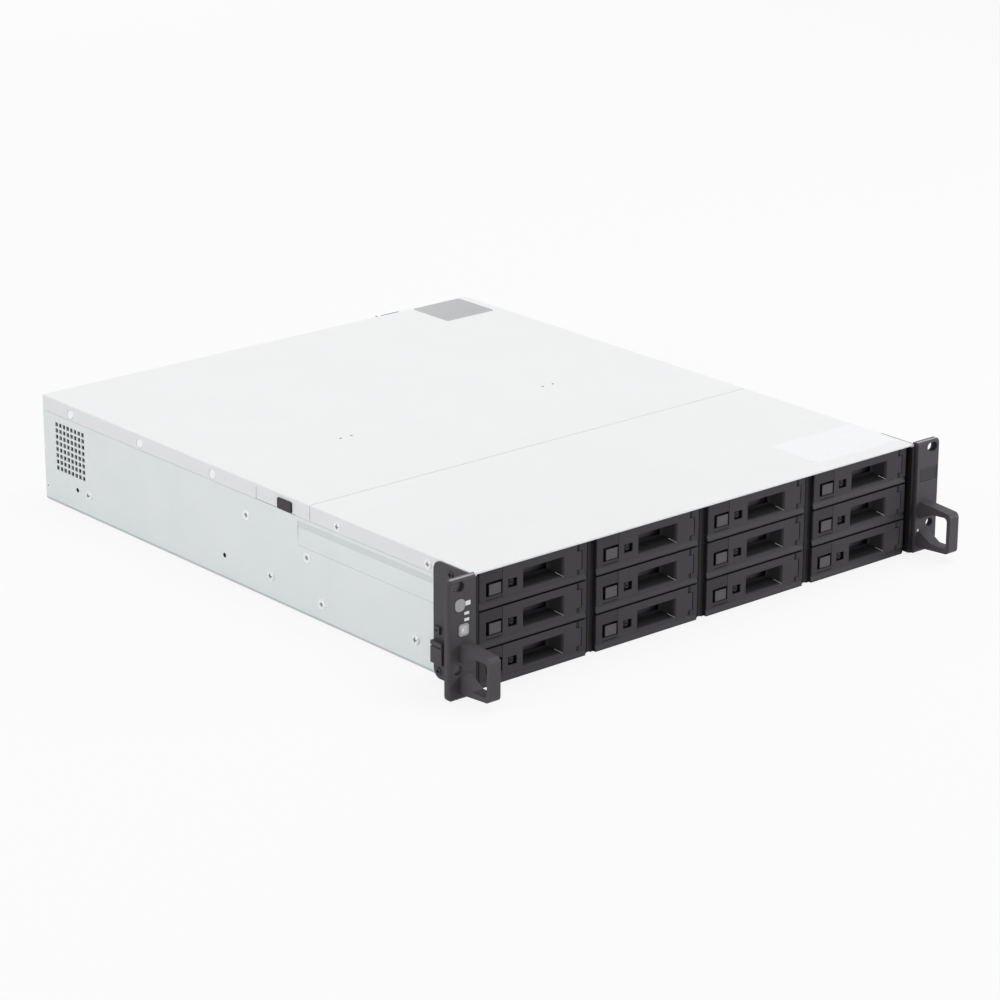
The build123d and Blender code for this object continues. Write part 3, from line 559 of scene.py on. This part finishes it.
finishes = {
    "cover_paint": whitePowderCoat,
    "galvanised": galvanisedSheet,
    "ear_paint": blackPowderCoat,
    "bezel_plastic": bezelAbs,
    "tray_plastic": trayAbs,
    "lever_plastic": leverAbs,
    "key_plastic": keyAbs,
    "panel_key": panelKeyAbs,
    "light_pipe": lightPipe,
    "latch_plastic": latchNylon,
    "trim_black": trimNylon,
    "board_green": solderMask,
    "fan_plastic": fanPbt,
    "port_metal": nickelShell,
    "supply_steel": zincSheet,
    "supply_latch": greenNylon,
}
for part in frame["record"]["subparts"]:
    node = frame["nodes"][part["node"]]
    node.data.materials.clear()
    node.data.materials.append(finishes[part["material_slot"]])


print("stage: makers")

# For each way a face can look: which way its width, its height and its outside point
compass = {
    "left": ((0, -1, 0), (0, 0, 1), (-1, 0, 0)),
    "right": ((0, 1, 0), (0, 0, 1), (1, 0, 0)),
    "front": ((1, 0, 0), (0, 0, 1), (0, -1, 0)),
    "rear": ((-1, 0, 0), (0, 0, 1), (0, 1, 0)),
    "top": ((1, 0, 0), (0, 1, 0), (0, 0, 1)),
}
sharpAngle = 35.0  # degrees; edges that turn more than this stay sharp
skin = 0.03  # mm that a thin film lies clear of the sheet under it


def gridQuads(rows, columns, closed=False):
    # quads of a grid of points, counter-clockwise seen from outside; closed joins the last row
    # to the first
    count = rows if closed else rows - 1
    first = np.arange(count)[:, None] * columns + np.arange(columns - 1)
    after = (np.arange(count)[:, None] + 1) % rows * columns + np.arange(columns - 1)
    return np.stack([first, after, after + 1, first + 1], axis=-1).reshape(-1, 4)


def addPiece(name, points, faces, finish, body, crease=sharpAngle, sunk=None):
    # one object at the origin that rides on its body; sunk: painted shade from 0 to 1 per point
    mesh = bpy.data.meshes.new(name)
    mesh.from_pydata(np.asarray(points, dtype=float).reshape(-1, 3), [], faces)
    mesh.validate()
    mesh.shade_smooth()
    mesh.set_sharp_from_angle(angle=math.radians(crease))
    mesh.materials.append(finish)
    if sunk is not None:
        depths = mesh.attributes.new("sunk", "FLOAT", "POINT")
        depths.data.foreach_set("value", np.asarray(sunk, dtype=float).ravel())
    piece = bpy.data.objects.new(name, mesh)
    scene.collection.objects.link(piece)
    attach(piece, body)
    return piece


def onFace(facing, origins, local):
    # local points (mm) stood on each origin (m), out along the way the face looks
    along, over, out = (np.array(axis, dtype=float) for axis in compass[facing])
    local = np.asarray(local, dtype=float) * millimetre
    stood = local[..., 0:1] * along + local[..., 1:2] * over + local[..., 2:3] * out
    origins = np.asarray(origins, dtype=float).reshape((-1,) + (1,) * (local.ndim - 1) + (3,))
    return origins + stood


def repeated(faces, count, step):
    # the same faces for each of several copies whose points follow each other
    return (faces[None] + np.arange(count)[:, None, None] * step).reshape(-1, faces.shape[1])


def stamped(name, facing, origins, local, finish, body):
    # copies of one grid of local points, such as a screw's head, in one object; the grid's
    # fourth column, if any, says how much painted shade the finish takes there
    points = onFace(facing, origins, local[..., :3])
    rows, columns = local.shape[:2]
    faces = repeated(gridQuads(rows, columns), len(points), rows * columns)
    sunk = np.tile(local[..., 3].ravel(), len(points)) if local.shape[-1] > 3 else None
    return addPiece(name, points, faces, finish, body, sunk=sunk)


def rimmed(name, facing, origins, kit, finish, body, steps=5):
    tightest = 0.02  # mm, the least corner radius
    signX = np.array([1, -1, -1, 1])[:, None]
    signY = np.array([1, 1, -1, -1])[:, None]
    swing = (np.arange(4)[:, None] + np.linspace(0, 1, steps)) * math.pi / 2
    inset, height = np.array(kit["profile"], dtype=float).T
    bend = np.maximum(kit["corner"] - inset, tightest)
    x = signX[..., None] * (kit["half"][0] - inset - bend) + bend * np.cos(swing)[..., None]
    y = signY[..., None] * (kit["half"][1] - inset - bend) + bend * np.sin(swing)[..., None]
    local = np.stack([x, y, np.broadcast_to(height, x.shape)], axis=-1)
    local = local.reshape(4 * steps, len(height), 3)
    points = onFace(facing, origins, local)
    rows, columns = local.shape[:2]
    faces = repeated(gridQuads(rows, columns, closed=True), len(points), rows * columns).tolist()
    cap = np.arange(rows) * columns + columns - 1
    faces += (cap + np.arange(len(points))[:, None] * rows * columns).tolist()
    return addPiece(name, points, faces, finish, body)


def tube(path, radius, sides=8, closed=False):
    # circle of this radius carried along a path of local points; its frame leans on the z axis
    path = np.asarray(path, dtype=float)
    ahead = np.roll(path, -1, axis=0) - np.roll(path, 1, axis=0)
    if not closed:
        ahead[0], ahead[-1] = path[1] - path[0], path[-1] - path[-2]
    ahead /= np.linalg.norm(ahead, axis=1, keepdims=True)
    side = np.cross(ahead, np.array([0.0, 0.0, 1.0]))
    side /= np.linalg.norm(side, axis=1, keepdims=True)
    over = np.cross(side, ahead)
    turn = np.linspace(0, 2 * math.pi, sides + 1)[None, :, None]
    return path[:, None] + radius * (np.cos(turn) * side[:, None] + np.sin(turn) * over[:, None])


def ramp(value, low, high):
    # smooth step: 0 at low, 1 at high, level at both ends
    t = np.clip((value - low) / (high - low), 0, 1)
    return t * t * (3 - 2 * t)


def onDisc(steps):
    # a square grid pressed into a disc: each coordinate times the root of one less half the
    # other's square; gives both and the distance from the middle, 1 at the rim
    line = np.linspace(-1, 1, steps)
    u, v = np.meshgrid(line, line, indexing="ij")
    x, y = u * np.sqrt(1 - v * v / 2), v * np.sqrt(1 - u * u / 2)
    return x, y, np.hypot(x, y)


def grown(x, y, size, *columns):
    # a disc of this radius in mm, with its height and any painted shade as further columns
    return np.stack([x * size, y * size, *columns], axis=-1)


discRim = 0.99  # the disc's outermost ring of points lies beyond this
headSeat = 0.15  # mm that a head's rim goes down into the sheet
crossShape = {
    "steps": 27,
    "rim": 0.14,
    "rimShare": 0.72,
    "domeShare": 0.28,
    "arm": (0.08, 0.15),
    "reach": (0.48, 0.56),
    "shade": (0.2, 0.5),
    "shadeShare": 0.5,
}
rivetShape = {"steps": 25, "rim": 0.22, "lip": (-0.1, 0.12), "shade": (-0.05, 0.1), "clear": 0.02}


def crossHead(kit):
    # screw head: steep rim, shallow dome, and a cross that sinks towards the middle, with painted
    # shade in the cross and round the middle
    x, y, r = onDisc(crossShape["steps"])
    rim = crossShape["rimShare"] * ramp(1 - r, 0, crossShape["rim"])
    dome = crossShape["domeShare"] * (1 - r * r)
    height = kit["crown"] * (rim + dome) - headSeat * (r > discRim)
    arm, span = np.minimum(abs(x), abs(y)), np.maximum(abs(x), abs(y))
    cross = (1 - ramp(arm, *crossShape["arm"])) * (1 - ramp(span, *crossShape["reach"]))
    dark = np.maximum(cross, crossShape["shadeShare"] * (1 - ramp(r, *crossShape["shade"])))
    return grown(x, y, kit["size"], height - kit["recess"] * cross, dark)


def hollowRivet(kit):
    # rivet head: rounded ring around a bore that goes down to the sheet, with painted shade in the
    # bore
    x, y, r = onDisc(rivetShape["steps"])
    lipStart, lipEnd = (kit["bore"] + step for step in rivetShape["lip"])
    darkStart, darkEnd = (kit["bore"] + step for step in rivetShape["shade"])
    ring = kit["crown"] * ramp(1 - r, 0, rivetShape["rim"]) * ramp(r, lipStart, lipEnd)
    height = ring - headSeat * (r > discRim)
    return grown(x, y, kit["size"], height + rivetShape["clear"], 1 - ramp(r, darkStart, darkEnd))


def darkBore(kit):
    # a hole's black mouth, painted shade on a film that rises by the rim's height from its edge
    # to its middle
    x, y, r = onDisc(kit["steps"])
    return grown(x, y, kit["size"], skin + kit["rim"] * (1 - r))


def placed(x, y, z):
    # an origin from millimetres across and up, and metres along
    return np.array([x * millimetre, y, z * millimetre])


def shifted(corner, offset):
    # an origin this many millimetres from a corner
    return np.array(corner) + np.array(offset) * millimetre


wallSide = {"left": -1, "right": 1}


def onWall(facing, table):
    # origins on a side wall from (y behind the ears' front, z), in millimetres
    table = np.asarray(table, dtype=float).reshape(-1, 2) * millimetre
    x = np.full(len(table), wallSide[facing] * halfWidth)
    return np.stack([x, frontY + table[:, 0], table[:, 1]], axis=-1)


def onTop(table):
    # origins on the covers from (x, y behind the ears' front), in millimetres
    table = np.asarray(table, dtype=float).reshape(-1, 2) * millimetre
    return np.stack([table[:, 0], frontY + table[:, 1], np.full(len(table), bodyTop)], axis=-1)


print("stage: wall fasteners")

wallScrews = {
    "places": [(466.1, 19.9), (232.1, 20.3), (65.6, 20.6)],
    "size": 4.1,
    "crown": 1.8,
    "recess": 1.1,
}
wallRivets = {
    "places": [(261.1, 59.4), (188.6, 46.5), (172.2, 15.5)],
    "size": 4.4,
    "crown": 1.2,
    "bore": 0.34,
}
coverScrews = {
    "places": [(153.1, 79.8), (52.0, 80.3)],
    "size": 3.8,
    "crown": 1.1,
    "recess": 0.7,
}
cornerScrews = {"places": [(523.3, 13.2)], "size": 2.3, "crown": 0.6, "recess": 0.45}
# Bores in the walls: dark films of painted shade where the holes are
wallBores = {"places": [(482.5, 19.7), (289.8, 20.1)], "size": 1.8, "rim": 0.12, "steps": 21}
screwKits = {"wallScrews": wallScrews, "coverScrews": coverScrews, "cornerScrews": cornerScrews}
for facing in wallSide:
    for label, kit in screwKits.items():
        origins = onWall(facing, kit["places"])
        stamped(f"{label}_{facing}", facing, origins, crossHead(kit), zincScrew, "server")
    origins = onWall(facing, wallRivets["places"])
    stamped(f"wallRivets_{facing}", facing, origins, hollowRivet(wallRivets), zincScrew, "server")
    origins = onWall(facing, wallBores["places"])
    stamped(f"wallBores_{facing}", facing, origins, darkBore(wallBores), boreShadow, "server")

# Dark sheet just inside the left wall's vent, painted shade in the vent; depth is how far its
# back lies inside the wall
ventShade = {
    "fromRear": 36.0,
    "height": 49.3,
    "depth": 3.6,
    "half": (22.0, 22.0),
    "corner": 1.0,
    "profile": [(0, 0), (0, 1.7), (0.3, 2.0)],
}
origin = (
    -halfWidth + ventShade["depth"] * millimetre,
    rearY - ventShade["fromRear"] * millimetre,
    ventShade["height"] * millimetre,
)
rimmed("ventShade", "left", [origin], ventShade, ventShadeFinish, "server")

# Pressed creases along both walls: a long gentle slope above a short steep one, faded at the rear
wallCrease = {
    "height": 53.7,
    "from": 14.0,
    "to": 200.0,
    "taper": 5.0,
    "fade": (1.0, 1.0, 0.05),
    "steps": (2.4, 0.1, -0.1, -0.7),
    "outline": (-0.02, 1.0, 1.0, -0.02),
    "proud": 0.3,
    "sharp": 20.0,
}
y = np.array([wallCrease["from"], wallCrease["to"] - wallCrease["taper"], wallCrease["to"]])
z = wallCrease["height"] + np.array(wallCrease["steps"])
fade = np.array(wallCrease["fade"])
out = np.array(wallCrease["outline"]) * wallCrease["proud"]
creaseShape = (len(y), len(z))
for facing, side in wallSide.items():
    points = np.stack(
        [
            side * (halfWidth + fade[:, None] * out * millimetre),
            np.broadcast_to(frontY + y[:, None] * millimetre, creaseShape),
            np.broadcast_to(z * millimetre, creaseShape),
        ],
        axis=-1,
    )
    if side < 0:
        points = points[::-1]  # mirrored, so that the faces still look outwards
    faces = gridQuads(*creaseShape)[:, ::-1]
    addPiece(f"wallCrease_{facing}", points, faces, galvanisedSheet, "server", wallCrease["sharp"])

# Screws on the ears' flanges, which lie against the walls
earScrews = {
    "places": [(26.0, 80.3), (39.2, 5.6)],
    "plate": 1.8,
    "size": 3.2,
    "crown": 0.9,
    "recess": 0.7,
}
for facing, side in wallSide.items():
    origins = shifted(onWall(facing, earScrews["places"]), (side * earScrews["plate"], 0, 0))
    stamped(f"earScrews_{facing}", facing, origins, crossHead(earScrews), blackZinc, "server")


print("stage: levers")

# The lowest corner of each lever, in front and at its left
leverLows = {f"{number:02d}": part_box(f"tray_lever_{number:02d}")[0] for number in range(1, 13)}

leverLock = {
    "offset": (9.1, 3.6, 8.6),
    "steps": 31,
    "size": 2.6,
    "height": 2.3,
    "rim": 0.05,
    "chamfer": (0.82, 0.97),
    "chamferDeep": 0.35,
    "slotHalf": (0.08, 0.128),
    "slotSpan": (0.595, 0.7),
    "slotDeep": 1.6,
}


def lockFace(kit):
    # cylinder with a chamfered rim and a level key slot, with painted shade in the slot
    x, y, r = onDisc(kit["steps"])
    chamfer = kit["chamferDeep"] * ramp(r, *kit["chamfer"])
    height = kit["height"] * ramp(1 - r, 0, kit["rim"]) - chamfer
    slot = (1 - ramp(abs(y), *kit["slotHalf"])) * (1 - ramp(abs(x), *kit["slotSpan"]))
    return grown(x, y, kit["size"], height - kit["slotDeep"] * slot, slot)


face = lockFace(leverLock)
for number, low in leverLows.items():
    origin = shifted(low, leverLock["offset"])
    stamped(f"lockCylinder_{number}", "front", [origin], face, lockZinc, f"lever_{number}")

# Fine groove under each release key's pocket, drawn as a black line: a film of painted shade
keyGroove = {
    "offset": (-7.9, 0.0, 1.0),
    "half": (6.8, 0.26),
    "corner": 0.2,
    "profile": [(0, -0.1), (0.01, 0.02), (0.1, 0.03)],
}
for number, low in leverLows.items():
    origin = shifted(low, keyGroove["offset"])
    rimmed(f"keyGroove_{number}", "front", [origin], keyGroove, boreShadow, f"tray_{number}")

# Fillet at the lower right corner of each finger scoop, dying out half way in, pale as a
# painted highlight
scoopFillet = {
    "front": (56.15, 1.35, 0.0),
    "deep": (46.95, 7.85, -9.0),
    "stops": (0.03, 0.2, 0.42, 0.5),
    "size": 0.24,
}
start, end = (np.array(scoopFillet[key]) for key in ("front", "deep"))
fillet = tube(start + np.array(scoopFillet["stops"])[:, None] * (end - start), scoopFillet["size"])
for number, low in leverLows.items():
    stamped(f"scoopFillet_{number}", "front", [low], fillet, paintedHighlightFinish, f"lever_{number}")


print("stage: lid and top details")

# Pressed tongues in the flange's dimples: flush with the floor above, standing proud below
hookTongues = {
    "fromRear": (38.0, 131.0, 224.0),
    "drop": 7.4,
    "steps": 19,
    "dimple": (4.1, 3.4),
    "fit": 0.93,
    "deep": 0.5,
    "proud": 0.3,
    "seat": 0.05,
}
bodyDepth = (rearY - frontY) / millimetre
tongueRise = coverTop - hookTongues["drop"]
places = [(bodyDepth - back, tongueRise) for back in hookTongues["fromRear"]]
x, y, r = onDisc(hookTongues["steps"])
deep, fit = hookTongues["deep"], hookTongues["fit"]
rise = (deep + hookTongues["proud"]) * (1 - y) / 2
out = np.where(r > discRim, -deep - hookTongues["seat"], -deep + rise)
halfX, halfY = hookTongues["dimple"]
tongue = np.stack([x * halfX * fit, y * halfY * fit, out], axis=-1)
for facing in wallSide:
    origins = onWall(facing, places)
    stamped(f"hookTongues_{facing}", facing, origins, tongue, glossPowderCoat, "lid")

# Lance marks on the lid: a low bridge, with a slot at each end drawn as a film of painted shade
lanceBridges = {
    "places": [(-99.9, 291.0), (102.2, 291.0)],
    "half": (4.4, 0.8),
    "corner": 0.7,
    "profile": [(0, 0), (0.3, 0.25), (0.6, 0.3)],
}
lanceSlots = {"apart": 5.2, "size": 0.9, "rim": 0.05, "steps": 9}
rimmed("lanceBridges", "top", onTop(lanceBridges["places"]), lanceBridges, whitePowderCoat, "lid")
apart = lanceSlots["apart"]
marks = [(x + step, y) for x, y in lanceBridges["places"] for step in (-apart, apart)]
stamped("lanceSlots", "top", onTop(marks), darkBore(lanceSlots), boreShadow, "lid")

# Blank labels: a thin film with a turned-down rim
labelFilm = {"corner": 2.5, "profile": [(0, 0), (0.02, 0.09), (0.12, 0.12), (0.4, 0.12)]}
rearLabel = {"middle": (181.5, 502.5), "half": (25.5, 23.5)}
frontLabel = {"middle": (171.0, 43.0), "half": (43.0, 25.0)}
rimmed("rearLabel", "top", onTop(rearLabel["middle"]), rearLabel | labelFilm, silverFilm, "lid")
rimmed(
    "frontLabel", "top", onTop(frontLabel["middle"]), frontLabel | labelFilm, whiteFilm, "server"
)


print("stage: panel marks")

# The mute key's paler square and its generic speaker mark
mutePatch = {"half": (2.9, 2.9), "corner": 1.1, "profile": [(0, 0), (0.03, 0.06), (1.5, 0.06)]}
muteSpeaker = {
    "offset": (-0.9, -0.06, 0),
    "half": (0.75, 1.1),
    "corner": 0.5,
    "profile": [(0, 0), (0.03, 0.05), (0.4, 0.05)],
}
muteLow, muteHigh = (np.array(corner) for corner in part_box("mute_button"))
muteFace = np.array([(muteLow[0] + muteHigh[0]) / 2, muteLow[1], (muteLow[2] + muteHigh[2]) / 2])
rimmed("mutePatch", "front", [muteFace], mutePatch, paleKeyAbs, "mute_key")
origin = shifted(muteFace, muteSpeaker["offset"])
rimmed("muteSpeaker", "front", [origin], muteSpeaker, lightPipe, "mute_key")

# Moulded housing of the panel's board, behind the left ear plate, with a shallow pan in its back
panelHousing = {
    "middle": (-229.6, 61.0),
    "behind": 4.7,
    "half": (7.4, 16.2),
    "corner": 2.0,
    "profile": [(0, 0), (0, 5.0), (0.3, 5.7), (1.0, 6.0), (3.0, 6.0), (3.2, 5.7), (6.0, 5.7)],
}
x, z = panelHousing["middle"]
origin = placed(x, frontY + panelHousing["behind"] * millimetre, z)
rimmed("panelHousing", "rear", [origin], panelHousing, socketPbt, "server")

# Plug in the small hole of each ear: white on the right as a painted highlight, and on the left
# the bezel's dark grey
earPlugs = {"across": 220.4, "rise": 18.2, "steps": 13, "size": 1.15, "crown": 0.25, "seat": 0.1}
plugFinish = {"left": bezelAbs, "right": whitePowderCoat}
x, y, r = onDisc(earPlugs["steps"])
plug = grown(x, y, earPlugs["size"], earPlugs["crown"] * (1 - r * r) - earPlugs["seat"])
for facing, side in wallSide.items():
    origin = placed(side * earPlugs["across"], frontY, earPlugs["rise"])
    stamped(f"earPlug_{facing}", "front", [origin], plug, plugFinish[facing], "server")

# Bare name plate seated in the right bezel's recess
namePlate = {
    "middle": (229.5, 61.7),
    "sunk": 0.35,
    "half": (8.7, 5.0),
    "corner": 0.6,
    "profile": [(0, -0.1), (0, 0.15), (0.25, 0.3), (0.6, 0.3), (0.8, 0.2), (1.0, 0.2)],
}
x, z = namePlate["middle"]
origin = placed(x, frontY + namePlate["sunk"] * millimetre, z)
rimmed("namePlate", "front", [origin], namePlate, plateAbs, "server")


print("stage: rear details")

# The supplies' rear faces lie a little behind the chassis' rear wall
faceY = rearY + 1.0 * millimetre
inletDeep = 13.7  # mm from there to the floor of an inlet
inletShell = {
    "inset": 16.0,
    "rise": 11.5,
    "half": (12.0, 8.5),
    "corner": 1.5,
    "profile": [(-1.6, 0), (-1.4, 0.7), (0.3, 0.7), (0.7, 0.2), (0.8, -inletDeep)],
}
inletPins = {
    "places": ((-5.0, -1.6), (5.0, -1.6), (0.0, 2.6)),
    "half": (1.0, 2.0),
    "corner": 0.3,
    "profile": [(0, 0), (0, 9.2), (0.5, 10.0)],
}
guard = {
    "inset": 25.0,
    "rise": 20.0,
    "radii": (4.5, 8.3, 12.1, 15.9),
    "steps": 48,
    "wire": 0.6,
    "sides": 8,
    "stand": 0.7,
    "overhang": 1.0,
    "arms": 4,
}


def wires(name, tubes, closed, middle, body):
    # several equal tubes of local points made one piece on the supply's rear face
    tubes = np.stack(tubes)
    quads = gridQuads(tubes.shape[1], tubes.shape[2], closed)
    faces = repeated(quads, len(tubes), tubes.shape[1] * tubes.shape[2])
    return addPiece(name, onFace("rear", [middle], tubes), faces, zincSheet, body)


for number in (1, 2):
    low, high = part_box(f"power_supply_{number}")
    body = f"supply_{number}"
    x = high[0] - inletShell["inset"] * millimetre
    z = low[2] + inletShell["rise"] * millimetre
    rimmed(f"inletShell_{number}", "rear", [(x, faceY, z)], inletShell, socketPbt, body)
    floorY = faceY - inletDeep * millimetre
    pins = [
        (x - across * millimetre, floorY, z + rise * millimetre)
        for across, rise in inletPins["places"]
    ]
    rimmed(f"inletPins_{number}", "rear", pins, inletPins, nickelShell, body)

    # fan guard: rings of wire, and arms that cross over them
    middle = (low[0] + guard["inset"] * millimetre, faceY, low[2] + guard["rise"] * millimetre)
    around = np.linspace(0, 2 * math.pi, guard["steps"], endpoint=False)
    circle = np.stack([np.cos(around), np.sin(around)], axis=-1)
    stand = np.full((guard["steps"], 1), guard["stand"])
    rings = [
        tube(np.hstack([size * circle, stand]), guard["wire"], guard["sides"], closed=True)
        for size in guard["radii"]
    ]
    wires(f"guardRings_{number}", rings, True, middle, body)
    reach = np.array([-1.0, 1.0]) * (guard["radii"][-1] + guard["overhang"])
    over = np.full(2, guard["stand"] + guard["wire"])
    turns = [math.pi * (arm + 0.5) / guard["arms"] for arm in range(guard["arms"])]
    spokes = [
        np.stack([reach * math.cos(turn), reach * math.sin(turn), over], axis=-1) for turn in turns
    ]
    arms = [tube(spoke, guard["wire"], guard["sides"]) for spoke in spokes]
    wires(f"guardArms_{number}", arms, False, middle, body)

# Gold contacts along the roof of each network jack
jack = {
    "places": (96.0, 77.0),
    "pitch": 1.02,
    "count": 8,
    "roof": 19.2,
    "setback": 9.0,
    "half": (0.24, 0.3),
    "corner": 0.1,
    "profile": [(0, 0), (0, 7.2), (0.15, 7.4)],
    "steps": 3,
}
contacts = [
    placed(
        place + (n - (jack["count"] - 1) / 2) * jack["pitch"],
        rearY - jack["setback"] * millimetre,
        jack["roof"],
    )
    for place in jack["places"]
    for n in range(jack["count"])
]
rimmed("jackContacts", "rear", contacts, jack, goldContact, "server", jack["steps"])

# Screws that hold the rear wall, the supply bay and the card slots' blanks
rearScrews = {
    "places": [
        (-208.0, 8.0),
        (-208.0, 66.0),
        (-60.0, 8.0),
        (30.0, 8.0),
        (120.0, 66.0),
        (120.0, 8.0),
        (211.0, 60.0),
    ],
    "size": 2.6,
    "crown": 0.9,
    "recess": 0.7,
}
origins = [placed(x, rearY, z) for x, z in rearScrews["places"]]
stamped("rearScrews", "rear", origins, crossHead(rearScrews), zincScrew, "server")
